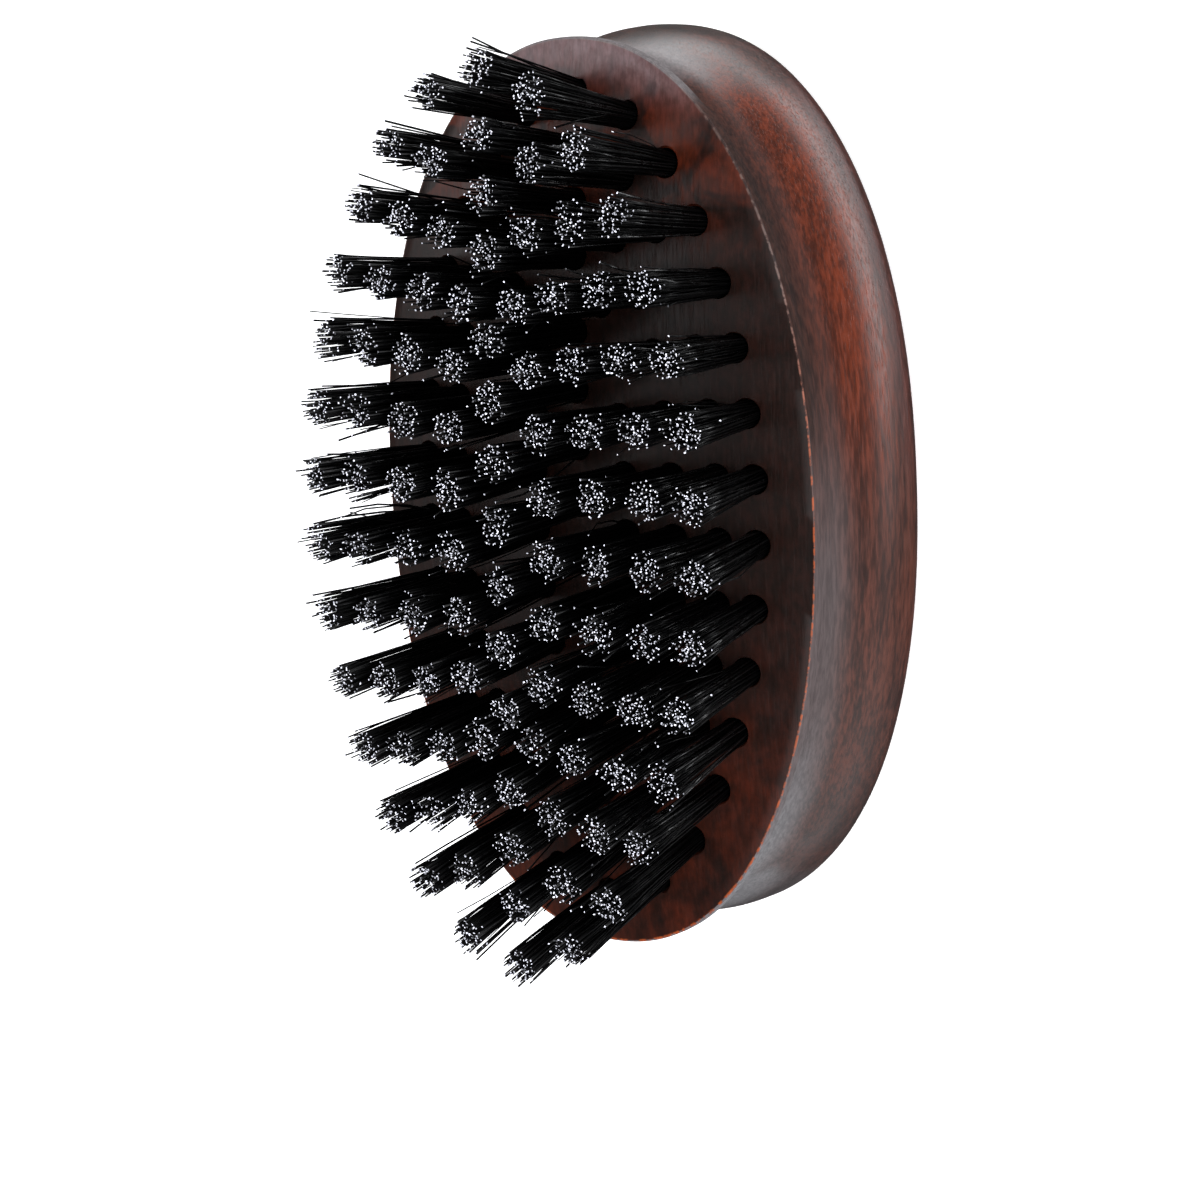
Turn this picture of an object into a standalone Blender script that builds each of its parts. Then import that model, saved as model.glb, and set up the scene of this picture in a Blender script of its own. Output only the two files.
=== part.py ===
"""Palm beard brush: an oval wooden block with a finger groove, set with tufts of stiff black bristle.

The brush lies on its back with the bristles up. +Y runs along the block to its head end, +X across it,
+Z out of the bristle face, and the origin is under the middle of the block, on the surface it lies on.
Each tuft is folded over a flat anchor wire at the bottom of its own blind hole.
"""

import math

import bmesh
import bpy
from mathutils import Matrix, Vector

MM = 0.001
GAP = 0.3 * MM  # clearance between neighbouring pieces

# The block: a superellipse outline at the rim of the bristle face and another at its widest level.
FACE_HALF_WIDTH = 28.2 * MM
FACE_HALF_LENGTH = 50.0 * MM
FACE_EXPONENT = 2.14
FACE_DOME = 2.95 * MM
RIM_HEIGHT = 26.0 * MM
WIDEST_HALF_WIDTH = 29.1 * MM
WIDEST_HALF_LENGTH = 49.8 * MM
WIDEST_EXPONENT = 2.24
WIDEST_DEPTH = 18.2 * MM  # below the rim
LAND_DEPTH = 1.0 * MM  # straight edge behind the rim
GROOVE_DEPTH = 2.4 * MM
GROOVE_END = 17.5 * MM  # below the rim
BACK_ROLL = 16.0 * MM  # how far in from the widest level the flat of the back starts

OUTLINE_SIDES = 56
GROOVE_STEPS = 8
ROLL_STEPS = 5
DOME_RINGS = (0.86, 0.62, 0.32)

# The tufts: four rings and a line down the middle.
RING_HALF_WIDTHS = (21.6 * MM, 17.25 * MM, 11.9 * MM, 6.0 * MM)
RING_HALF_LENGTHS = (44.2 * MM, 38.2 * MM, 32.5 * MM, 26.8 * MM)
RING_SIDE_COUNTS = (14, 12, 10, 8)  # tufts between the head tuft and the tail tuft, on each side
RING_EXPONENT = 1.94
CENTER_COUNT = 7
CENTER_PITCH = 6.2 * MM
TRACE_STEPS = 4000  # chords that stand for a ring when its tufts are spaced along it

# The tips fan out: a base spread plus one that grows with the square of the distance from the middle.
TIP_HEIGHT = 18.4 * MM  # above the rim, in the middle
TIP_SPREAD_X = (0.026, 0.214)
TIP_SPREAD_Y = (0.072, 0.033)
TIP_DROP = (0.99 * MM, 0.35 * MM)

TUFT_ROOT_RADIUS = 1.5 * MM
TUFT_TIP_RADIUS = 2.1 * MM
HOLE_DEPTH = 8.0 * MM
HOLE_OVERCUT = 3.0 * MM  # how far the cutter of a hole stands out of the face
TUFT_SIDES = 8

# The flat wire that holds each tuft down.
ANCHOR_THICKNESS = 0.5 * MM
ANCHOR_HEIGHT = 1.4 * MM
ANCHOR_LENGTH = 4.4 * MM
ANCHOR_LIFT = 1.7 * MM  # middle of the wire above the folded end of the tuft
SLOT_TRIM = 0.5 * MM  # keeps the slots of one row apart inside each hole

SMOOTH_ANGLE = math.radians(35)


def clear_scene():
    for old in list(bpy.data.objects):
        bpy.data.objects.remove(old, do_unlink=True)


def material(name, colour, roughness, metallic):
    made = bpy.data.materials.new(name)
    made.use_nodes = True
    shader = made.node_tree.nodes["Principled BSDF"]
    shader.inputs["Base Color"].default_value = (*colour, 1.0)
    shader.inputs["Roughness"].default_value = roughness
    shader.inputs["Metallic"].default_value = metallic
    return made


def add_object(name, shape, finish, cutter=False):
    """Turns a bmesh into a linked object. A cutter is only drawn as wire and never rendered."""
    bmesh.ops.recalc_face_normals(shape, faces=shape.faces)
    mesh = bpy.data.meshes.new(name)
    shape.to_mesh(mesh)
    shape.free()
    mesh.shade_smooth()
    mesh.set_sharp_from_angle(angle=SMOOTH_ANGLE)
    made = bpy.data.objects.new(name, mesh)
    bpy.context.scene.collection.objects.link(made)
    if finish:
        mesh.materials.append(finish)
    if cutter:
        made.hide_render = True
        made.display_type = "WIRE"
    return made


def add_boolean(target, tool, operation):
    cut = target.modifiers.new(f"{operation.lower()}_{tool.name}", "BOOLEAN")
    cut.operation = operation
    cut.solver = "EXACT"
    cut.object = tool


# Outline and face


def superellipse(half_width, half_length, exponent, angle):
    """A point of the outline: angle 0 is the head end, and a quarter turn on is the +X side."""
    across = math.sin(angle)
    along = math.cos(angle)
    x = half_width * math.copysign(abs(across) ** (2 / exponent), across)
    y = half_length * math.copysign(abs(along) ** (2 / exponent), along)
    return x, y


def face_height(x, y):
    reach = abs(x / FACE_HALF_WIDTH) ** FACE_EXPONENT + abs(y / FACE_HALF_LENGTH) ** FACE_EXPONENT
    return RIM_HEIGHT + FACE_DOME * (1 - reach ** (2 / FACE_EXPONENT))


def side_level(depth):
    """Half width, half length, exponent and height of the side's outline at a depth below the rim."""
    share = depth / WIDEST_DEPTH
    bulge = math.sin(share * math.pi / 2)
    inset = 0.0
    if LAND_DEPTH < depth < GROOVE_END:
        along = (depth - LAND_DEPTH) / (GROOVE_END - LAND_DEPTH)
        # Steep behind the land, deepest a quarter of the way, and running out smoothly: its peak is 1.
        inset = GROOVE_DEPTH * 256 / 27 * along * (1 - along) ** 3
    return (
        FACE_HALF_WIDTH + (WIDEST_HALF_WIDTH - FACE_HALF_WIDTH) * bulge - inset,
        FACE_HALF_LENGTH + (WIDEST_HALF_LENGTH - FACE_HALF_LENGTH) * bulge - inset,
        FACE_EXPONENT + (WIDEST_EXPONENT - FACE_EXPONENT) * share,
        RIM_HEIGHT - depth,
    )


def back_level(turn):
    """The rounded stretch from the widest level, at turn 0, to the flat of the back, at turn 1."""
    angle = turn * math.pi / 2
    inset = BACK_ROLL * (1 - math.cos(angle))
    return (
        WIDEST_HALF_WIDTH - inset,
        WIDEST_HALF_LENGTH - inset,
        WIDEST_EXPONENT,
        (RIM_HEIGHT - WIDEST_DEPTH) * (1 - math.sin(angle)),
    )


def block_levels():
    depths = [0.0, LAND_DEPTH]
    depths += [
        LAND_DEPTH + (GROOVE_END - LAND_DEPTH) * step / GROOVE_STEPS
        for step in range(1, GROOVE_STEPS + 1)
    ]
    depths.append(WIDEST_DEPTH)
    levels = [side_level(depth) for depth in depths]
    return levels + [back_level(step / ROLL_STEPS) for step in range(1, ROLL_STEPS + 1)]


def build_block(finish):
    shape = bmesh.new()
    angles = [math.tau * k / OUTLINE_SIDES for k in range(OUTLINE_SIDES)]

    def bridge(upper, lower):
        for k in range(OUTLINE_SIDES):
            following = (k + 1) % OUTLINE_SIDES
            shape.faces.new((upper[k], upper[following], lower[following], lower[k]))

    def ring(half_width, half_length, exponent, height):
        corners = [superellipse(half_width, half_length, exponent, angle) for angle in angles]
        return [shape.verts.new((x, y, height)) for x, y in corners]

    rings = [ring(*level) for level in block_levels()]
    for upper, lower in zip(rings, rings[1:]):
        bridge(upper, lower)
    shape.faces.new(rings[-1])

    outer = rings[0]
    for scale in DOME_RINGS:
        corners = [
            superellipse(FACE_HALF_WIDTH * scale, FACE_HALF_LENGTH * scale, FACE_EXPONENT, angle)
            for angle in angles
        ]
        inner = [shape.verts.new((x, y, face_height(x, y))) for x, y in corners]
        bridge(inner, outer)
        outer = inner
    crown = shape.verts.new((0, 0, face_height(0, 0)))
    for k in range(OUTLINE_SIDES):
        shape.faces.new((crown, outer[k], outer[(k + 1) % OUTLINE_SIDES]))
    return add_object("wood_block", shape, finish)


# Tuft places


def evenly_spaced(half_width, half_length, exponent, count):
    """Points at equal arc lengths round a superellipse, from the head end towards +X."""
    turns = [math.tau * k / TRACE_STEPS for k in range(TRACE_STEPS + 1)]
    trace = [Vector(superellipse(half_width, half_length, exponent, turn)) for turn in turns]
    lengths = [0.0]
    for before, after in zip(trace, trace[1:]):
        lengths.append(lengths[-1] + (after - before).length)
    places = []
    k = 0
    for number in range(count):
        wanted = lengths[-1] * number / count
        while lengths[k + 1] < wanted:
            k += 1
        share = (wanted - lengths[k]) / (lengths[k + 1] - lengths[k])
        places.append(trace[k].lerp(trace[k + 1], share))
    return places


def tuft_ends(place):
    """Where a tuft leaves the face, and the middle of its cut tips."""
    x, y = place
    across = (x / FACE_HALF_WIDTH) ** 2
    along = (y / FACE_HALF_LENGTH) ** 2
    root = Vector((x, y, face_height(x, y)))
    tip = Vector(
        (
            x * (1 + TIP_SPREAD_X[0] + TIP_SPREAD_X[1] * across),
            y * (1 + TIP_SPREAD_Y[0] + TIP_SPREAD_Y[1] * along),
            RIM_HEIGHT + TIP_HEIGHT - TIP_DROP[0] * across - TIP_DROP[1] * along,
        )
    )
    return root, tip


def tuft_groups():
    """{name: list of tuft places}. A row holds the tufts of one side that stand in line across the rings."""
    groups = {}
    for ring, side_count in enumerate(RING_SIDE_COUNTS):
        count = 2 * side_count + 2
        places = evenly_spaced(RING_HALF_WIDTHS[ring], RING_HALF_LENGTHS[ring], RING_EXPONENT, count)
        groups[f"tuft_head_{ring + 1}"] = [places[0]]
        groups[f"tuft_tail_{ring + 1}"] = [places[side_count + 1]]
        for number in range(1, side_count + 1):
            row = number + ring
            groups.setdefault(f"tuft_row_right_{row:02d}", []).append(places[number])
            groups.setdefault(f"tuft_row_left_{row:02d}", []).append(places[-number])
    for number in range(CENTER_COUNT):
        y = CENTER_PITCH * ((CENTER_COUNT - 1) / 2 - number)
        groups[f"tuft_center_{number + 1}"] = [Vector((0, y))]
    return groups


# Tufts, holes and anchors


def tuft_frame(root, tip):
    """A frame at the root with +Z up the tuft."""
    up = (tip - root).normalized()
    side = Vector((0, 1, 0)).cross(up).normalized()
    return Matrix.Translation(root) @ Matrix((side, up.cross(side), up)).transposed().to_4x4()


def add_prism(shape, frame, stations):
    """A closed prism through stations of (height up the frame's axis, radius), the lowest first."""
    loops = []
    for height, radius in stations:
        corners = []
        for k in range(TUFT_SIDES):
            angle = math.tau * (k + 0.5) / TUFT_SIDES
            corner = Vector((radius * math.cos(angle), radius * math.sin(angle), height))
            corners.append(shape.verts.new(frame @ corner))
        loops.append(corners)
    for lower, upper in zip(loops, loops[1:]):
        for k in range(TUFT_SIDES):
            following = (k + 1) % TUFT_SIDES
            shape.faces.new((lower[k], lower[following], upper[following], upper[k]))
    shape.faces.new(loops[0][::-1])
    shape.faces.new(loops[-1])


def add_tuft(shape, place):
    root, tip = tuft_ends(place)
    stations = (
        (GAP - HOLE_DEPTH, TUFT_ROOT_RADIUS),
        (0.0, TUFT_ROOT_RADIUS),
        ((tip - root).length, TUFT_TIP_RADIUS),
    )
    add_prism(shape, tuft_frame(root, tip), stations)


def add_hole(shape, place):
    """The tuft's blind hole as a solid, standing proud of the face so that it cuts cleanly through it."""
    radius = TUFT_ROOT_RADIUS + GAP
    add_prism(shape, tuft_frame(*tuft_ends(place)), ((-HOLE_DEPTH, radius), (HOLE_OVERCUT, radius)))


def anchor_middle(place):
    return tuft_frame(*tuft_ends(place)) @ Vector((0, 0, GAP - HOLE_DEPTH + ANCHOR_LIFT))


def add_strip(shape, points, thickness, height):
    """A flat wire on edge through the points, as one closed solid with mitred bends."""
    loops = []
    for k, point in enumerate(points):
        before = points[max(k - 1, 0)]
        after = points[min(k + 1, len(points) - 1)]
        heading = (after - before).normalized()
        side = heading.cross(Vector((0, 0, 1))).normalized() * thickness / 2
        rise = Vector((0, 0, height / 2))
        corners = (point + side + rise, point - side + rise, point - side - rise, point + side - rise)
        loops.append([shape.verts.new(corner) for corner in corners])
    for near, far in zip(loops, loops[1:]):
        for k in range(4):
            shape.faces.new((near[k], near[(k + 1) % 4], far[(k + 1) % 4], far[k]))
    shape.faces.new(loops[0][::-1])
    shape.faces.new(loops[-1])


def single_anchor_points(name, place, extra=0.0):
    """The ends of a lone tuft's anchor: along the block under the middle tufts, across it at the ends."""
    middle = anchor_middle(place)
    heading = Vector((0, 1, 0)) if "center" in name else Vector((1, 0, 0))
    reach = heading * (ANCHOR_LENGTH / 2 + extra)
    return [middle - reach, middle + reach]


def build_row(name, places, bristle):
    """Tufts of one row. Two or more are held by one strip of anchor wire through their folds."""
    tufts = bmesh.new()
    for place in places:
        add_tuft(tufts, place)
    row = add_object(name, tufts, bristle)
    if len(places) > 1:
        strip = bmesh.new()
        add_strip(strip, [anchor_middle(place) for place in places], ANCHOR_THICKNESS, ANCHOR_HEIGHT)
        wire = add_object(f"{name}_strip", strip, None, cutter=True)
        add_boolean(row, wire, "UNION")


def build_single(name, place, bristle, wire):
    """A lone tuft with a window through its fold, and the anchor that passes through the window."""
    tuft = bmesh.new()
    add_tuft(tuft, place)
    body = add_object(name, tuft, bristle)
    window = bmesh.new()
    points = single_anchor_points(name, place, GAP)
    add_strip(window, points, ANCHOR_THICKNESS + 2 * GAP, ANCHOR_HEIGHT + 2 * GAP)
    add_boolean(body, add_object(f"{name}_window", window, None, cutter=True), "DIFFERENCE")
    anchor = bmesh.new()
    add_strip(anchor, single_anchor_points(name, place), ANCHOR_THICKNESS, ANCHOR_HEIGHT)
    add_object(name.replace("tuft", "anchor"), anchor, wire)


def cut_holes(block, groups):
    holes = bmesh.new()
    for places in groups.values():
        for place in places:
            add_hole(holes, place)
    add_boolean(block, add_object("hole_cutter", holes, None, cutter=True), "DIFFERENCE")


def cut_slots(block, groups):
    """Room for the anchor wires: a slot between the holes of each row and a pocket beside each lone hole."""
    slots = bmesh.new()
    width = ANCHOR_THICKNESS + 2 * GAP
    height = ANCHOR_HEIGHT + 2 * GAP
    for name, places in groups.items():
        if "row" not in name:
            add_strip(slots, single_anchor_points(name, places[0], GAP), width, height)
            continue
        middles = [anchor_middle(place) for place in places]
        for near, far in zip(middles, middles[1:]):
            trim = (far - near).normalized() * SLOT_TRIM
            add_strip(slots, [near + trim, far - trim], width, height)
    add_boolean(block, add_object("slot_cutter", slots, None, cutter=True), "DIFFERENCE")


def main():
    clear_scene()
    wood = material("stained_wood", (0.085, 0.022, 0.012), 0.38, 0.0)
    bristle = material("black_bristle", (0.006, 0.006, 0.007), 0.45, 0.0)
    wire = material("anchor_wire", (0.55, 0.53, 0.5), 0.4, 1.0)
    groups = tuft_groups()
    block = build_block(wood)
    cut_holes(block, groups)
    cut_slots(block, groups)
    for name, places in groups.items():
        if "row" in name:
            build_row(name, places, bristle)
        else:
            build_single(name, places[0], bristle, wire)


main()
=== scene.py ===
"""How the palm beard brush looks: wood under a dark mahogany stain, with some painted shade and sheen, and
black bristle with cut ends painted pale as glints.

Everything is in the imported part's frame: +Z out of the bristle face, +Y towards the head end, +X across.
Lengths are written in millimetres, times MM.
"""

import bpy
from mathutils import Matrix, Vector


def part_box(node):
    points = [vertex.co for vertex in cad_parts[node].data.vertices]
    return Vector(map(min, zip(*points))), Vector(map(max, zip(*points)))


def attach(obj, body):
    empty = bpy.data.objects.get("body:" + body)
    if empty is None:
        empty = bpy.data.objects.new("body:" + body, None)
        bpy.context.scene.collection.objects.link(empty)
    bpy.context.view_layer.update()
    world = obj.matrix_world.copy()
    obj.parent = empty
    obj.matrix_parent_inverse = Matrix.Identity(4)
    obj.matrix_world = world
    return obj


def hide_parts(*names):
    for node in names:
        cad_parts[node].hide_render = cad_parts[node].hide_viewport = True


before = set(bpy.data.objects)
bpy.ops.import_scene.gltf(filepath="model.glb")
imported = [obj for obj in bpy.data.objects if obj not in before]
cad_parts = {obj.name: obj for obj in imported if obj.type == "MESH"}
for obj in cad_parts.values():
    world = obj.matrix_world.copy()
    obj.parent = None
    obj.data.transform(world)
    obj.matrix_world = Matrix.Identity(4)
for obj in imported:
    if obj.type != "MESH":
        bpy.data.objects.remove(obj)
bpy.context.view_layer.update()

import math

import bmesh
import bpy
import numpy as np
from mathutils import Matrix, Vector, noise

MM = 0.001
BLOCK_LOW, BLOCK_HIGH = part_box("wood_block")

# The block, as in the CAD part
FACE_HALF_WIDTH = 28.2 * MM
FACE_HALF_LENGTH = 50.0 * MM
FACE_EXPONENT = 2.14
FACE_DOME = 2.95 * MM
RIM_HEIGHT = BLOCK_HIGH[2] - FACE_DOME
WIDEST_HALF_WIDTH = (BLOCK_HIGH[0] - BLOCK_LOW[0]) / 2
WIDEST_HALF_LENGTH = 49.8 * MM
WIDEST_EXPONENT = 2.24
WIDEST_DEPTH = 18.2 * MM
LAND_DEPTH = 1.0 * MM
GROOVE_DEPTH = 2.4 * MM
GROOVE_END = 17.5 * MM
BACK_ROLL = 16.0 * MM

# Fineness and finish of the block
OUTLINE_SIDES = 320
LAND_STEPS = 3
GROOVE_STEPS = 34
ROLL_STEPS = 22
DOME_STEPS = 26
ARRIS = 0.12 * MM  # chamfer of the rim
UNEVENNESS = 0.05 * MM  # hand sanding
UNEVEN_LENGTH = 14.0 * MM
HOLE_RADIUS = 1.64 * MM
HOLE_DEPTH = 8.0 * MM
HOLE_SIDES = 28
COUNTERSINK = 0.08 * MM
HOLES_WITHIN = 0.9  # of the way from the middle of the face to its rim
SHARP_ANGLE = math.radians(38)

# Bristles
BRISTLE_RADIUS = 0.112 * MM
BRISTLE_THICKNESS = (0.86, 1.16)  # thinnest and thickest, as shares of the radius
BRISTLE_SIDES = 5
BRISTLE_COUNT = (82, 102)  # fewest and most in one tuft
BRISTLE_STATIONS = (0.0, 0.35, 0.7, 1.0)  # along the part that stands out of the hole
OVAL = 0.28  # how much flatter than round a bristle is, on average
CUT_SLANT = 0.35  # typical slope of a cut end
BURIED = 7.2 * MM
FOOT_SHARE = 0.96  # how wide the tuft is at its buried end, as a share of the root
ROOT_SPREAD = 1.42 * MM
ROOT_JITTER = 0.05 * MM
TIP_SPREAD = 2.10 * MM
TIP_JITTER = 0.16 * MM
TIP_SHARE = (0.92, 1.08)  # narrowest and widest tuft, as shares of the tip spread
TIP_SQUASH = (0.90, 1.11)  # how much wider a tuft is one way than it would be round
CROWDING = 0.3  # above 0, the tips stand closer in the middle of a tuft
SPLAY = 1.2  # above 1, bristles bend outward more near their tips
TUFT_LEAN = 0.08 * MM
LOCKS = 7  # bundles in a tuft that its tips lean towards
LOCK_REACH = 0.8  # how far out they are, as a share of the tip spread
LOCK_PULL = 0.16  # the most that a tip moves towards its lock, as a share of the way
BEND = 0.12 * MM
LENGTH_JITTER = 0.28 * MM
LOOSE_SHARE = 0.25
LOOSE_SPREAD = 0.42 * MM
LOOSE_LENGTH = 0.40 * MM
STRAY_SHARE = 0.035
STRAY_SPREAD = 1.3 * MM
STRAY_BEND = 0.5 * MM
STRAY_SHORTER = 4.0 * MM
GLOSSY_SHARE = 0.20
END_SHARES = (0.52, 0.34, 0.14)  # cut ends painted white, light and grey as glints
SEED = 7
GOLDEN_ANGLE = math.pi * (3 - math.sqrt(5))

# Camera and studio
CAMERA_AIM = Vector((1.245, -10.972, 1.801)) * MM  # from the middle of the rim
CAMERA_TURN = (-13.052, 35.047, -3.057)
CAMERA_DISTANCE = 516.2 * MM
CAMERA_LENS = 142.18
PANELS = (  # of soft light: the way towards it, its reach in degrees, its strength
    ((0.62, -0.25, 0.74), 52, 3.7),  # key, over the right flank
    ((0.05, 0.80, 0.60), 34, 1.5),  # fill, over the head end
    ((-0.60, 0.18, 0.78), 26, 7.0),  # overhead, from the back left
    ((-0.20, 0.95, -0.25), 38, 9.5),  # beyond the head end, low
    ((0.55, -0.78, -0.25), 44, 2.0),  # beyond the tail end, low
)
STRIP_HEIGHTS = (-0.84, -0.74, -0.62, -0.44)  # a low strip of light starts, is full, fades and ends
STRIP_TOWARDS = (0.82, 0.57, 0)
STRIP_SIDES = (0.45, 0.68)  # it comes in and is full
STRIP_POWER = 12.0
FLOOR_REACH = 900 * MM
FLOOR_GLOW = 0.45


# Materials


def tone(red, green, blue):
    """A colour from its screen values, 0 to 255."""
    screen = np.array([red, green, blue]) / 255
    linear = np.where(screen < 0.04045, screen / 12.92, ((screen + 0.055) / 1.055) ** 2.4)
    return tuple(float(part) for part in linear)


class Shader:
    """A node tree with short calls to add and join nodes. Coordinates in it are in millimetres."""

    def __init__(self, tree):
        self.tree = tree

    def add(self, kind, settings=None, **inputs):
        """A new node. Each input is a value or another node's output."""
        node = self.tree.nodes.new("ShaderNode" + kind)
        for key, value in (settings or {}).items():
            setattr(node, key, value)
        for key, value in inputs.items():
            self.feed(node.inputs[key.replace("_", " ")], value)
        return node

    def feed(self, socket, value):
        if isinstance(value, bpy.types.NodeSocket):
            self.tree.links.new(value, socket)
        else:
            socket.default_value = value

    def axis(self, name):
        """One of the piece's own coordinates."""
        parts = self.add("SeparateXYZ", Vector=self.place((1, 1, 1)))
        return parts.outputs[name]

    def place(self, scale):
        """The piece's own coordinates, times a scale along each axis."""
        where = self.add("TexCoord").outputs["Object"]
        stretched = self.add("VectorMath", {"operation": "MULTIPLY"})
        self.feed(stretched.inputs[0], where)
        stretched.inputs[1].default_value = [part / MM for part in scale]
        return stretched.outputs[0]

    def noise(self, scale, detail=2.0, roughness=0.5, distortion=0.0):
        """Soft noise from 0 to 1. The scale is about how many spots a millimetre has along each axis."""
        made = self.add(
            "TexNoise",
            Vector=self.place(scale),
            Scale=1.0,
            Detail=detail,
            Roughness=roughness,
            Distortion=distortion,
        )
        return made.outputs["Fac"]

    def rise(self, value, start, end, low=0.0, high=1.0):
        """Goes smoothly from low to high while the value goes from start to end."""
        made = self.add("MapRange", {"interpolation_type": "SMOOTHSTEP"})
        self.feed(made.inputs["Value"], value)
        made.inputs["From Min"].default_value = start
        made.inputs["From Max"].default_value = end
        made.inputs["To Min"].default_value = low
        made.inputs["To Max"].default_value = high
        return made.outputs["Result"]

    def hump(self, value, start, top_start, top_end, end):
        """1 from top_start to top_end, and 0 before start and after end."""
        up = self.rise(value, start, top_start)
        down = self.rise(value, top_end, end, 1.0, 0.0)
        return self.maths("MULTIPLY", up, down)

    def maths(self, operation, first, second):
        made = self.add("Math", {"operation": operation})
        self.feed(made.inputs[0], first)
        self.feed(made.inputs[1], second)
        return made.outputs[0]

    def times(self, *factors):
        """The product of all the factors."""
        product = factors[0]
        for factor in factors[1:]:
            product = self.maths("MULTIPLY", product, factor)
        return product

    def mix(self, share, first, second):
        """The first colour where the share is 0, the second where it is 1."""
        made = self.add("Mix", {"data_type": "RGBA"})
        self.feed(made.inputs["Factor"], share)
        for socket, colour in zip((made.inputs[6], made.inputs[7]), (first, second)):
            self.feed(socket, (*colour, 1.0) if isinstance(colour, tuple) else colour)
        return made.outputs[2]


class Finish(Shader):
    """A material around its Principled node."""

    def __init__(self, name, roughness, **values):
        self.material = bpy.data.materials.new(name)
        self.material.use_nodes = True
        super().__init__(self.material.node_tree)
        self.surface = self.tree.nodes["Principled BSDF"]
        self.surface.inputs["Roughness"].default_value = roughness
        for key, value in values.items():
            self.surface.inputs[key.replace("_", " ")].default_value = value

    def drive(self, key, value):
        """Joins an output to an input of the Principled node."""
        self.feed(self.surface.inputs[key], value)

    def bump(self, height, strength, distance):
        made = self.add("Bump", Height=height, Strength=strength, Distance=distance)
        self.drive("Normal", made.outputs["Normal"])


def wood_figure(wood):
    """Short flecks, fine lines and pores, each from 0 to 1. All run along the block."""
    flecks = wood.noise((2.6, 0.32, 2.6), detail=3.0, roughness=0.6)
    lines = wood.noise((2.4, 0.07, 2.4), detail=3.0, roughness=0.6)
    pores = wood.noise((4.5, 0.30, 4.5), detail=2.0)
    return flecks, lines, pores


def finish_wood(wood, colour, flecks, lines, pores, dulled=0.0):
    """The relief and gloss that the face and the side share. Dulled adds to the roughness."""
    lined = wood.rise(lines, 0.34, 0.62, 0.88, 1.08)
    flecked = wood.rise(flecks, 0.36, 0.64, 0.86, 1.14)
    shaded = wood.add("VectorMath", {"operation": "SCALE"}, Scale=wood.times(lined, flecked))
    wood.feed(shaded.inputs[0], colour)
    wood.drive("Base Color", shaded.outputs[0])
    open_grain = wood.rise(pores, 0.3, 0.7, 0.38, 0.29)
    dry_flecks = wood.rise(flecks, 0.55, 0.68, 0.0, 0.08)
    wood.drive("Roughness", wood.maths("ADD", wood.maths("ADD", open_grain, dry_flecks), dulled))
    relief = wood.maths("ADD", wood.rise(pores, 0.28, 0.46), wood.times(flecks, 0.6))
    wood.bump(relief, 0.16, 0.05 * MM)


def face_wood():
    """Nearly black, partly a darker stain than the side's and partly painted shade; redder in clouds at
    the head and towards the tail, with a painted sheen at the head rim.
    """
    wood = Finish("face_wood", 0.4, Specular_IOR_Level=0.14)
    flecks, lines, pores = wood_figure(wood)
    faint_lines = wood.maths("ADD", wood.times(lines, 0.4), 0.33)
    along = wood.axis("Y")
    height = wood.maths("SUBTRACT", wood.axis("Z"), RIM_HEIGHT / MM)
    clouds = wood.noise((0.17, 0.13, 0.17), detail=3.0, roughness=0.6, distortion=0.6)
    mottle = wood.noise((1.1, 0.7, 1.1), detail=3.0, roughness=0.6)
    # These tones are darker than the side's: partly a darker stain, partly painted shade for the weaker
    # light on the face.
    dark = wood.mix(wood.rise(mottle, 0.3, 0.7), tone(18, 9, 6), tone(29, 13, 9))
    warm = wood.mix(wood.rise(mottle, 0.3, 0.7), tone(58, 22, 10), tone(75, 27, 12))
    red_head = wood.times(wood.rise(along, 25, 38), wood.rise(clouds, 0.42, 0.58, 0.0, 0.85))
    red_tail = wood.times(wood.rise(along, -4, -40, 0.0, 0.6), wood.rise(clouds, 0.25, 0.65))
    colour = wood.mix(wood.maths("MAXIMUM", red_head, red_tail), dark, warm)
    # Painted sheen: a pale mauve grey near the head rim stands in for the reflection there.
    head_rim_sheen = wood.times(wood.rise(height, 0.8, 0.1), wood.rise(along, 40, 49))
    colour = wood.mix(wood.times(head_rim_sheen, wood.rise(mottle, 0.3, 0.7, 0.55, 1.0)), colour, tone(94, 76, 78))
    worn = wood.times(wood.rise(height, 0.050, 0.025), rim_wear(wood))
    colour = wood.mix(worn, colour, rubbed(wood))
    finish_wood(wood, colour, flecks, faint_lines, pores)
    return wood.material


def rim_wear(wood):
    """How far the arris of the rim is rubbed through: in beads, and most towards the tail."""
    beads = wood.rise(wood.noise((1.3, 1.3, 1.3), detail=3.0), 0.42, 0.60, 0.05, 1.0)
    return wood.times(beads, wood.rise(wood.axis("Y"), 50, 0, 0.2, 1.0))


def rubbed(wood):
    """Bare wood on the arris: dusty pink towards the head, orange towards the tail."""
    return wood.mix(wood.rise(wood.axis("Y"), 28, 2), tone(118, 98, 92), tone(142, 66, 32))


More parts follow.
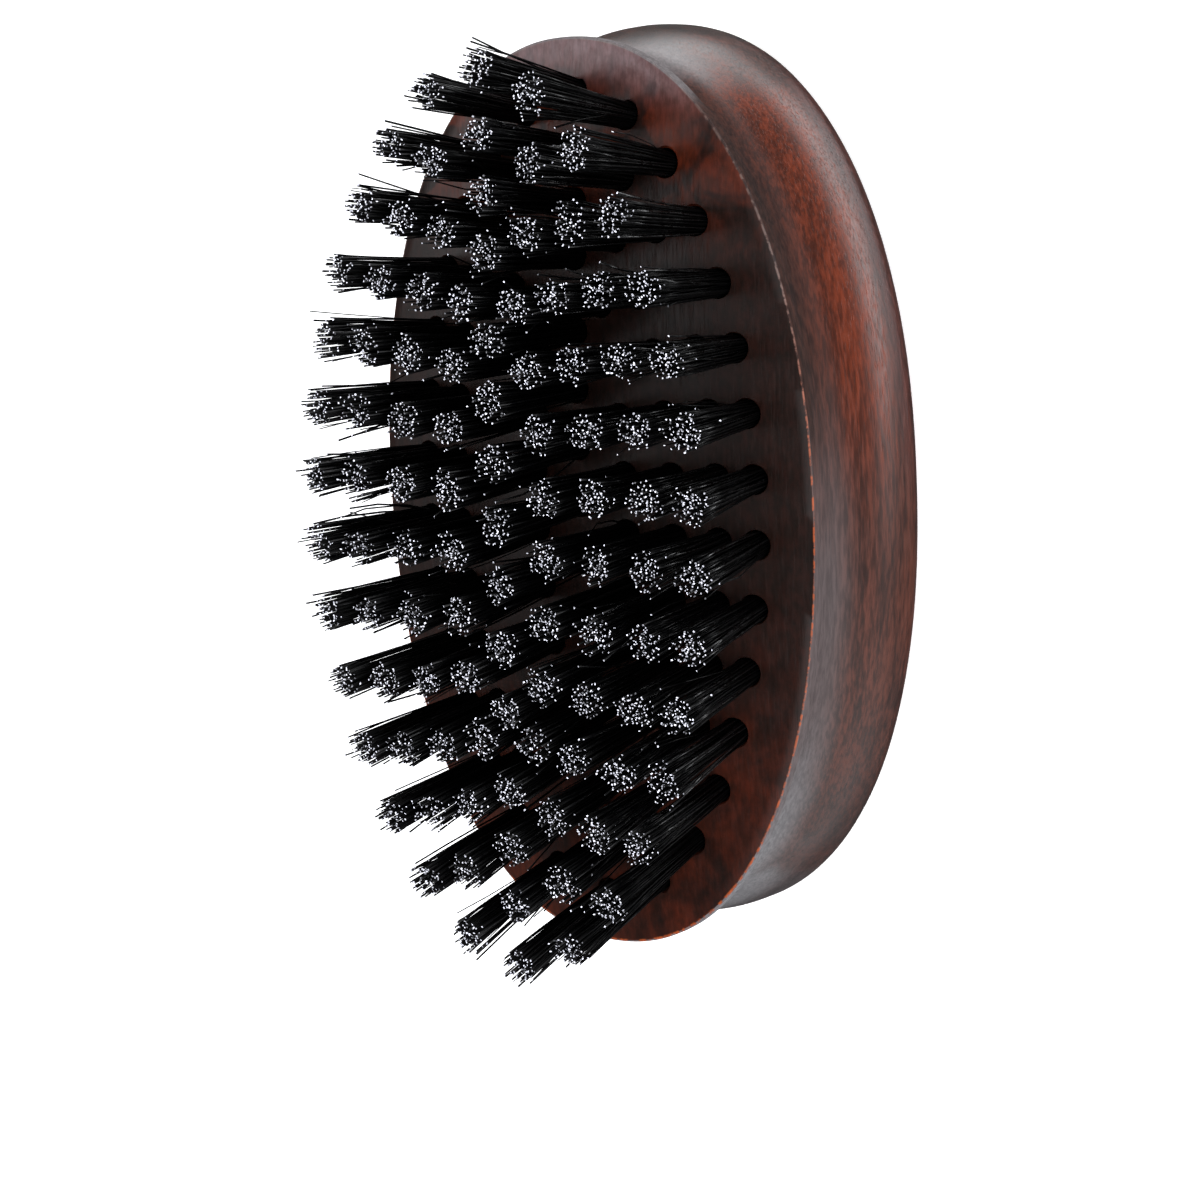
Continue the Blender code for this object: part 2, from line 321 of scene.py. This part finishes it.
def side_wood():
    """Red mahogany on the bulge, grey in the groove and at both ends (partly smoky stain, partly painted
    sheen), with the rim rubbed through.
    """
    wood = Finish("side_wood", 0.38, Specular_IOR_Level=0.22)
    streaks = wood.noise((0.50, 0.045, 0.50), detail=4.0, roughness=0.55, distortion=0.25)
    flecks, lines, pores = wood_figure(wood)
    depth = wood.maths("SUBTRACT", RIM_HEIGHT / MM, wood.axis("Z"))
    drift = wood.rise(wood.noise((0.09, 0.09, 0.09), detail=2.0), 0.3, 0.7, -2.5, 2.5)
    along = wood.maths("ADD", wood.axis("Y"), drift)
    figure = wood.rise(wood.maths("ADD", streaks, flecks), 0.76, 1.24)

    def stain(low, high):
        """Goes from the low tone to the high one with the figure of the wood."""
        return wood.mix(figure, tone(*low), tone(*high))

    brown = stain((34, 20, 17), (50, 29, 23))
    red = stain((64, 25, 12), (91, 35, 15))
    colour = wood.mix(wood.hump(depth, 4.0, 11.0, 14.5, 18.0), brown, red)
    colour = wood.mix(wood.rise(depth, 15.0, 18.0), colour, stain((54, 28, 24), (70, 38, 33)))
    zones = (  # comes in at this place along the block, is full at the next, and its two tones
        (14, -8, (43, 25, 21), (72, 38, 29)),  # tail half
        (-16, -40, (36, 22, 19), (56, 30, 24)),  # darker towards the tail
        (-38, -48, (46, 41, 42), (60, 53, 53)),  # grey at the tail end, partly painted sheen
        (43, 50, (38, 33, 32), (60, 42, 36)),  # grey-brown at the head end, partly painted sheen
    )
    for start, full, low, high in zones:
        colour = wood.mix(wood.rise(along, start, full), colour, stain(low, high))
    # Painted sheen, partly smoky stain: pale grey in the groove's tail half and at the tail end stands in
    # for the reflection there.
    smoke_and_sheen = wood.mix(wood.rise(along, -22, -43), tone(72, 63, 63), tone(95, 94, 96))
    tail_end_sheen = wood.times(wood.rise(along, -39, -46), wood.rise(depth, 14.0, 9.0))
    groove = wood.maths("MAXIMUM", wood.rise(depth, 10.5, 6.0), tail_end_sheen)
    colour = wood.mix(wood.times(groove, wood.rise(along, 15, -12)), colour, smoke_and_sheen)
    # Painted sheen: pale grey towards the head end stands in for the reflection there.
    head_sheen = wood.times(wood.rise(depth, 12.0, 6.0), wood.rise(along, 42, 48))
    colour = wood.mix(head_sheen, colour, tone(90, 85, 86))
    worn = wood.times(wood.rise(depth, 0.11, 0.07), rim_wear(wood))
    colour = wood.mix(worn, colour, rubbed(wood))
    dulled = wood.times(wood.hump(depth, 0.1, 0.2, 5.0, 9.0), 0.55)
    finish_wood(wood, colour, flecks, lines, pores, dulled)
    return wood.material


def bristle_shaft(name, brightness, roughness, specular):
    """Bristle with scales along it: the gloss comes and goes."""
    colour = (brightness, brightness, brightness * 1.15, 1.0)
    shaft = Finish(name, roughness, Base_Color=colour, Specular_IOR_Level=specular)
    scales = shaft.noise((1.2, 1.2, 1.2), detail=2.0)
    shaft.drive("Roughness", shaft.rise(scales, 0.35, 0.65, roughness - 0.10, roughness + 0.12))
    return shaft.material


def bristle_end(name, brightness):
    """A cut bristle's end, painted pale as a glint of light."""
    colour = (brightness * 0.95, brightness * 0.96, brightness * 1.08, 1.0)
    end = Finish(name, 0.45, Base_Color=colour)
    fibres = end.noise((9.0, 9.0, 9.0), detail=1.0)
    end.drive("Roughness", end.rise(fibres, 0.3, 0.7, 0.35, 0.6))
    return end.material


def drawn_wire():
    """Steel wire with the fine lines of the die along it."""
    wire = Finish("drawn_wire", 0.4, Metallic=1.0)
    lines = wire.noise((8.0, 0.8, 8.0), detail=3.0)
    wire.drive("Base Color", wire.mix(wire.rise(lines, 0.3, 0.7), (0.40, 0.40, 0.41), (0.62, 0.62, 0.63)))
    wire.drive("Roughness", wire.rise(lines, 0.3, 0.7, 0.45, 0.28))
    return wire.material


def pale_floor():
    """Nearly white paper, which glows a little so that it stays pale all over."""
    floor = Finish("pale_floor", 0.7, Specular_IOR_Level=0.2)
    mottle = floor.noise((0.02, 0.02, 0.02), detail=3.0)
    paper = floor.mix(floor.rise(mottle, 0.3, 0.7), (0.87, 0.87, 0.87), (0.90, 0.90, 0.90))
    floor.drive("Base Color", paper)
    floor.surface.inputs["Emission Color"].default_value = (1.0, 1.0, 1.0, 1.0)
    floor.surface.inputs["Emission Strength"].default_value = FLOOR_GLOW
    return floor.material


# The block


def superellipse(half_width, half_length, exponent, angle):
    """A point of an oval that is fuller than an ellipse. Angle 0 is its head end."""
    across = math.sin(angle)
    along = math.cos(angle)
    x = half_width * math.copysign(abs(across) ** (2 / exponent), across)
    y = half_length * math.copysign(abs(along) ** (2 / exponent), along)
    return x, y


def face_reach(x, y):
    """0 in the middle of the face and 1 on its rim."""
    reach = abs(x / FACE_HALF_WIDTH) ** FACE_EXPONENT + abs(y / FACE_HALF_LENGTH) ** FACE_EXPONENT
    return reach ** (1 / FACE_EXPONENT)


def face_height(x, y):
    """The domed face's height over a point of the plan."""
    return RIM_HEIGHT + FACE_DOME * (1 - face_reach(x, y) ** 2)


def side_level(depth):
    """Half width, half length, exponent and height of the side at a depth below the rim."""
    share = depth / WIDEST_DEPTH
    bulge = math.sin(share * math.pi / 2)
    inset = 0.0
    if LAND_DEPTH < depth < GROOVE_END:
        along = (depth - LAND_DEPTH) / (GROOVE_END - LAND_DEPTH)
        peak = 27 / 256  # of the product below, a quarter of the way along
        inset = GROOVE_DEPTH / peak * along * (1 - along) ** 3
    return (
        FACE_HALF_WIDTH + (WIDEST_HALF_WIDTH - FACE_HALF_WIDTH) * bulge - inset,
        FACE_HALF_LENGTH + (WIDEST_HALF_LENGTH - FACE_HALF_LENGTH) * bulge - inset,
        FACE_EXPONENT + (WIDEST_EXPONENT - FACE_EXPONENT) * share,
        RIM_HEIGHT - depth,
    )


def back_level(turn):
    """The same for the rounded back: turn is 0 at the widest level and 1 on the flat."""
    angle = turn * math.pi / 2
    inset = BACK_ROLL * (1 - math.cos(angle))
    return (
        WIDEST_HALF_WIDTH - inset,
        WIDEST_HALF_LENGTH - inset,
        WIDEST_EXPONENT,
        (RIM_HEIGHT - WIDEST_DEPTH) * (1 - math.sin(angle)),
    )


def stretch(start, end, steps):
    """Evenly spaced values after start, up to and with the end."""
    return [start + (end - start) * step / steps for step in range(1, steps + 1)]


def block_levels():
    """Every level of the side and back, from the rim's arris down."""
    depths = [ARRIS, *stretch(ARRIS, LAND_DEPTH, LAND_STEPS)]
    depths += stretch(LAND_DEPTH, GROOVE_END, GROOVE_STEPS)
    depths.append(WIDEST_DEPTH)
    turns = stretch(0, 1, ROLL_STEPS)
    return [side_level(depth) for depth in depths] + [back_level(turn) for turn in turns]


def uneven(point):
    """Moves a point of the side a few hundredths of a millimetre in or out, as hand sanding leaves it."""
    amount = noise.noise(Vector(point) / UNEVEN_LENGTH) * UNEVENNESS
    outward = Vector((point[0] / FACE_HALF_WIDTH, point[1] / FACE_HALF_LENGTH, 0)).normalized()
    return Vector(point) + outward * amount


def block_mesh():
    """The block without its holes: levels joined into the side, a flat back and a domed face."""
    shape = bmesh.new()
    angles = [math.tau * k / OUTLINE_SIDES for k in range(OUTLINE_SIDES)]

    def bridge(upper, lower):
        for k in range(OUTLINE_SIDES):
            following = (k + 1) % OUTLINE_SIDES
            shape.faces.new((upper[k], upper[following], lower[following], lower[k]))

    rings = []
    for half_width, half_length, exponent, height in block_levels():
        corners = [superellipse(half_width, half_length, exponent, angle) for angle in angles]
        rings.append([shape.verts.new(uneven((x, y, height))) for x, y in corners])
    for upper, lower in zip(rings, rings[1:]):
        bridge(upper, lower)
    shape.faces.new(rings[-1])

    outer = rings[0]
    edge = 1 - ARRIS / FACE_HALF_WIDTH
    for step in range(DOME_STEPS):
        scale = edge * (1 - step / DOME_STEPS)
        corners = [
            superellipse(FACE_HALF_WIDTH * scale, FACE_HALF_LENGTH * scale, FACE_EXPONENT, angle)
            for angle in angles
        ]
        inner = [shape.verts.new((x, y, face_height(x, y))) for x, y in corners]
        bridge(inner, outer)
        outer = inner
    crown = shape.verts.new((0, 0, face_height(0, 0)))
    for k in range(OUTLINE_SIDES):
        shape.faces.new((crown, outer[k], outer[(k + 1) % OUTLINE_SIDES]))
    bmesh.ops.recalc_face_normals(shape, faces=shape.faces)
    mesh = bpy.data.meshes.new("wooden_block")
    shape.to_mesh(mesh)
    shape.free()
    return mesh


def tuft_turn(root, tip):
    """Turns a tuft's own axes into the frame's: its Z runs from root to tip."""
    up = (tip - root).normalized()
    side = Vector((0, 1, 0)).cross(up).normalized()
    return Matrix((side, up.cross(side), up)).transposed()


def hole_cutter(tufts):
    """All the holes as one mesh of separate solids, each widening a little where it meets the face."""
    shape = bmesh.new()
    stations = (
        (-HOLE_DEPTH, HOLE_RADIUS),
        (-COUNTERSINK, HOLE_RADIUS),
        (2 * COUNTERSINK, HOLE_RADIUS + 3 * COUNTERSINK),  # at 45 degrees, clear of the face
    )
    for root, tip in tufts:
        turn = tuft_turn(root, tip)
        loops = []
        for height, radius in stations:
            angles = [math.tau * k / HOLE_SIDES for k in range(HOLE_SIDES)]
            corners = [Vector((radius * math.cos(a), radius * math.sin(a), height)) for a in angles]
            loops.append([shape.verts.new(root + turn @ corner) for corner in corners])
        for lower, upper in zip(loops, loops[1:]):
            for k in range(HOLE_SIDES):
                following = (k + 1) % HOLE_SIDES
                shape.faces.new((lower[k], lower[following], upper[following], upper[k]))
        shape.faces.new(loops[0][::-1])
        shape.faces.new(loops[-1])
    mesh = bpy.data.meshes.new("holes")
    shape.to_mesh(mesh)
    shape.free()
    return mesh


def add_piece(name, mesh):
    """An object of the scene with this mesh."""
    made = bpy.data.objects.new(name, mesh)
    bpy.context.scene.collection.objects.link(made)
    return made


def baked(obj):
    """Replaces the object's mesh with what its modifiers make of it."""
    graph = bpy.context.evaluated_depsgraph_get()
    result = bpy.data.meshes.new_from_object(obj.evaluated_get(graph))
    obj.modifiers.clear()
    old = obj.data
    obj.data = result
    result.name = old.name
    bpy.data.meshes.remove(old)


def split_finish(mesh):
    """Slot 1 on the side and the back's edge, slot 0 on the face, the holes and the back's middle."""
    for polygon in mesh.polygons:
        outside = face_reach(*polygon.center.xy) > HOLES_WITHIN
        polygon.material_index = int(outside and polygon.center.z < RIM_HEIGHT)


def build_block(tufts):
    """The wooden block, with a hole cut for every tuft."""
    block = add_piece("wooden_block", block_mesh())
    cutter = add_piece("holes", hole_cutter(tufts))
    cut = block.modifiers.new("holes", "BOOLEAN")
    cut.operation = "DIFFERENCE"
    cut.solver = "EXACT"
    cut.object = cutter
    baked(block)
    bpy.data.meshes.remove(cutter.data)
    block.data.materials.clear()
    block.data.materials.append(face_wood())
    block.data.materials.append(side_wood())
    split_finish(block.data)
    block.data.shade_smooth()
    block.data.set_sharp_from_angle(angle=SHARP_ANGLE)
    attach(block, "root")
    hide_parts("wood_block")


# Tufts


def tufts_of(node):
    """(root, tip) of each tuft in a CAD node: the middles of its prism's two ends.

    What stands above the rim's level is split into connected groups of corners, one for each tuft.
    """
    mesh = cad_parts[node].data
    lowest_root = RIM_HEIGHT - 1 * MM
    keys = {}
    same = [keys.setdefault(tuple(round(c / MM, 2) for c in v.co), v.index) for v in mesh.vertices]
    links = {}
    for edge in mesh.edges:
        near, far = (same[index] for index in edge.vertices)
        if min(mesh.vertices[near].co.z, mesh.vertices[far].co.z) > lowest_root:
            links.setdefault(near, set()).add(far)
            links.setdefault(far, set()).add(near)
    found = []
    left = set(links)
    while left:
        group = set()
        todo = [min(left)]
        while todo:
            index = todo.pop()
            if index not in group:
                group.add(index)
                todo.extend(links[index])
        left -= group
        corners = sorted((mesh.vertices[index].co for index in group), key=lambda co: co.z)
        half = len(corners) // 2
        root = sum(corners[:half], Vector()) / half
        tip = sum(corners[half:], Vector()) / half
        found.append((root, tip))
    return found


def bristle_lines(root, tip, draw):
    """Centre lines of one tuft's bristles, as an array of (bristle, station, xyz), and the tuft's axes."""
    count = int(draw.integers(BRISTLE_COUNT[0], BRISTLE_COUNT[1] + 1))
    order = np.arange(count)
    reach = np.sqrt((order + 0.5) / count)
    angle = order * GOLDEN_ANGLE + draw.uniform(0, math.tau)
    disc = np.stack([reach * np.cos(angle), reach * np.sin(angle)], axis=1)
    start = disc * ROOT_SPREAD + draw.normal(0, ROOT_JITTER, (count, 2))
    squash = draw.uniform(*TIP_SQUASH)
    end = disc * TIP_SPREAD * [squash, 1 / squash] * draw.uniform(*TIP_SHARE)
    end *= (reach**CROWDING)[:, None]
    end += draw.normal(0, TUFT_LEAN, 2)
    locks = draw.uniform(-1, 1, (LOCKS, 2)) * TIP_SPREAD * LOCK_REACH
    nearest = np.argmin(np.linalg.norm(end[:, None] - locks[None], axis=2), axis=1)
    end += (locks[nearest] - end) * draw.uniform(0.0, LOCK_PULL, (count, 1))
    end += draw.normal(0, TIP_JITTER, (count, 2))
    bend = draw.normal(0, BEND, (count, 2))
    length = (tip - root).length + draw.normal(0, LENGTH_JITTER, count)
    loose = draw.random(count) < LOOSE_SHARE
    end[loose] += draw.normal(0, LOOSE_SPREAD, (loose.sum(), 2))
    length[loose] += draw.normal(0, LOOSE_LENGTH, loose.sum())
    stray = draw.random(count) < STRAY_SHARE
    end[stray] += draw.normal(0, STRAY_SPREAD, (stray.sum(), 2))
    bend[stray] += draw.normal(0, STRAY_BEND, (stray.sum(), 2))
    length[stray] -= draw.uniform(0, STRAY_SHORTER, stray.sum())
    lines = [np.concatenate([start * FOOT_SHARE, np.full((count, 1), -BURIED)], axis=1)]
    for share in BRISTLE_STATIONS:
        flat = start + (end - start) * share**SPLAY + bend * 4 * share * (1 - share)
        lines.append(np.concatenate([flat, (length * share)[:, None]], axis=1))
    axes = np.array(tuft_turn(root, tip))
    return np.stack(lines, axis=1) @ axes.T + np.array(root), axes


def bristle_rods(lines, axes, draw):
    """Corners of oval rods around the lines, as (bristle, station, side, xyz), cut a little aslant."""
    count = len(lines)
    angles = np.arange(BRISTLE_SIDES) * math.tau / BRISTLE_SIDES
    ring = np.stack([np.cos(angles), np.sin(angles)], axis=1)
    oval = np.stack([np.ones(count), 1 - draw.uniform(0, 2 * OVAL, count)], axis=1)
    radius = BRISTLE_RADIUS * draw.uniform(*BRISTLE_THICKNESS, count)
    section = ring[None] * (oval * radius[:, None])[:, None]
    turn = draw.uniform(0, math.pi, count)
    cosine = np.cos(turn)[:, None]
    sine = np.sin(turn)[:, None]
    across = section[..., 0] * cosine - section[..., 1] * sine
    along = section[..., 0] * sine + section[..., 1] * cosine
    offsets = across[..., None] * axes[:, 0] + along[..., None] * axes[:, 1]
    corners = lines[:, :, None] + offsets[:, None]
    slant = draw.normal(0, CUT_SLANT, (count, 2))
    lift = across * slant[:, :1] + along * slant[:, 1:]
    corners[:, -1] += lift[..., None] * axes[:, 2]
    return corners


def bristle_mesh(name, tufts, draw):
    """Every bristle of a node as a closed rod. Material slots: two shafts, then three cut ends."""
    corners = []
    for root, tip in tufts:
        lines, axes = bristle_lines(root, tip, draw)
        corners.append(bristle_rods(lines, axes, draw))
    corners = np.concatenate(corners)
    count, stations, sides = corners.shape[:3]
    index = np.arange(count * stations * sides).reshape(count, stations, sides)
    lower, upper = index[:, :-1], index[:, 1:]
    walls = np.stack([lower, np.roll(lower, -1, 2), np.roll(upper, -1, 2), upper], axis=-1)
    faces = walls.reshape(-1, 4).tolist() + index[:, 0, ::-1].tolist() + index[:, -1].tolist()
    shafts = (draw.random(count) < GLOSSY_SHARE).astype(int)
    ends = draw.choice((2, 3, 4), count, p=END_SHARES)
    walls_each = (stations - 1) * sides
    slots = np.concatenate([np.repeat(shafts, walls_each), shafts, ends])
    mesh = bpy.data.meshes.new(name)
    mesh.from_pydata(corners.reshape(-1, 3).tolist(), [], faces)
    mesh.polygons.foreach_set("material_index", slots.astype(np.int32))
    mesh.polygons.foreach_set("use_smooth", np.arange(len(faces)) < count * walls_each)
    return mesh


def build_tufts(places):
    """The bristles of every tuft, one piece for each CAD node."""
    materials = [
        bristle_shaft("bristle_jet", 0.0008, 0.45, 0.06),
        bristle_shaft("bristle_glossy", 0.002, 0.34, 0.24),
        bristle_end("cut_end_glint_white", 0.90),
        bristle_end("cut_end_glint_light", 0.46),
        bristle_end("cut_end_glint_grey", 0.10),
    ]
    draw = np.random.default_rng(SEED)
    for node, tufts in places.items():
        name = node.replace("tuft", "bristles")
        piece = add_piece(name, bristle_mesh(name, tufts, draw))
        for material in materials:
            piece.data.materials.append(material)
        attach(piece, "root")
        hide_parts(node)


def finish_anchors():
    """The CAD anchors stay as they are, in steel wire."""
    wire = drawn_wire()
    for name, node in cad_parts.items():
        if name.startswith("anchor"):
            for slot in node.material_slots:
                slot.material = wire


# Camera, floor and light


def add_camera():
    """A long lens, looking down on the face from the right and a little from the head end."""
    camera = bpy.data.objects.new("camera", bpy.data.cameras.new("camera"))
    bpy.context.scene.collection.objects.link(camera)
    camera.rotation_euler = [math.radians(turn) for turn in CAMERA_TURN]
    back = camera.rotation_euler.to_matrix() @ Vector((0, 0, CAMERA_DISTANCE))
    camera.location = Vector((0, 0, RIM_HEIGHT)) + CAMERA_AIM + back
    camera.data.sensor_width = 36
    camera.data.lens = CAMERA_LENS
    camera.data.clip_start = 0.01
    bpy.context.scene.camera = camera


def add_surroundings():
    """A dim room, lit by soft panels and by a low strip of light on the right."""
    world = bpy.data.worlds.new("studio")
    world.use_nodes = True
    room = Shader(world.node_tree)
    direction = room.add("TexCoord").outputs["Generated"]
    upward = room.add("SeparateXYZ", Vector=direction).outputs["Z"]

    def facing(towards):
        """1 where the direction points straight towards it."""
        product = room.add("VectorMath", {"operation": "DOT_PRODUCT"})
        room.feed(product.inputs[0], direction)
        product.inputs[1].default_value = towards
        return product.outputs["Value"]

    strength = room.rise(upward, -0.1, 0.3, 0.10, 0.24)
    for towards, reach, power in PANELS:
        edge = math.cos(math.radians(reach))
        glow = room.rise(facing(Vector(towards).normalized()), edge, 1.0, 0.0, power)
        strength = room.maths("ADD", strength, glow)
    strip = room.times(room.hump(upward, *STRIP_HEIGHTS), room.rise(facing(STRIP_TOWARDS), *STRIP_SIDES))
    strength = room.maths("ADD", strength, room.times(strip, STRIP_POWER))
    background = world.node_tree.nodes["Background"]
    background.inputs["Color"].default_value = (0.97, 0.98, 1.0, 1.0)
    room.feed(background.inputs["Strength"], strength)
    bpy.context.scene.world = world


def add_floor():
    """A plain pale sheet under the brush. It isn't seen in reflections."""
    mesh = bpy.data.meshes.new("floor")
    signs = ((-1, -1), (1, -1), (1, 1), (-1, 1))
    mesh.from_pydata([(x * FLOOR_REACH, y * FLOOR_REACH, 0) for x, y in signs], [], [(0, 1, 2, 3)])
    mesh.materials.append(pale_floor())
    floor = add_piece("floor", mesh)
    floor.visible_glossy = False


bpy.context.scene.view_settings.view_transform = "Standard"
add_camera()
add_surroundings()
add_floor()
tuft_places = {name: tufts_of(name) for name in sorted(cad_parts) if name.startswith("tuft")}
build_block([tuft for tufts in tuft_places.values() for tuft in tufts])
build_tufts(tuft_places)
finish_anchors()
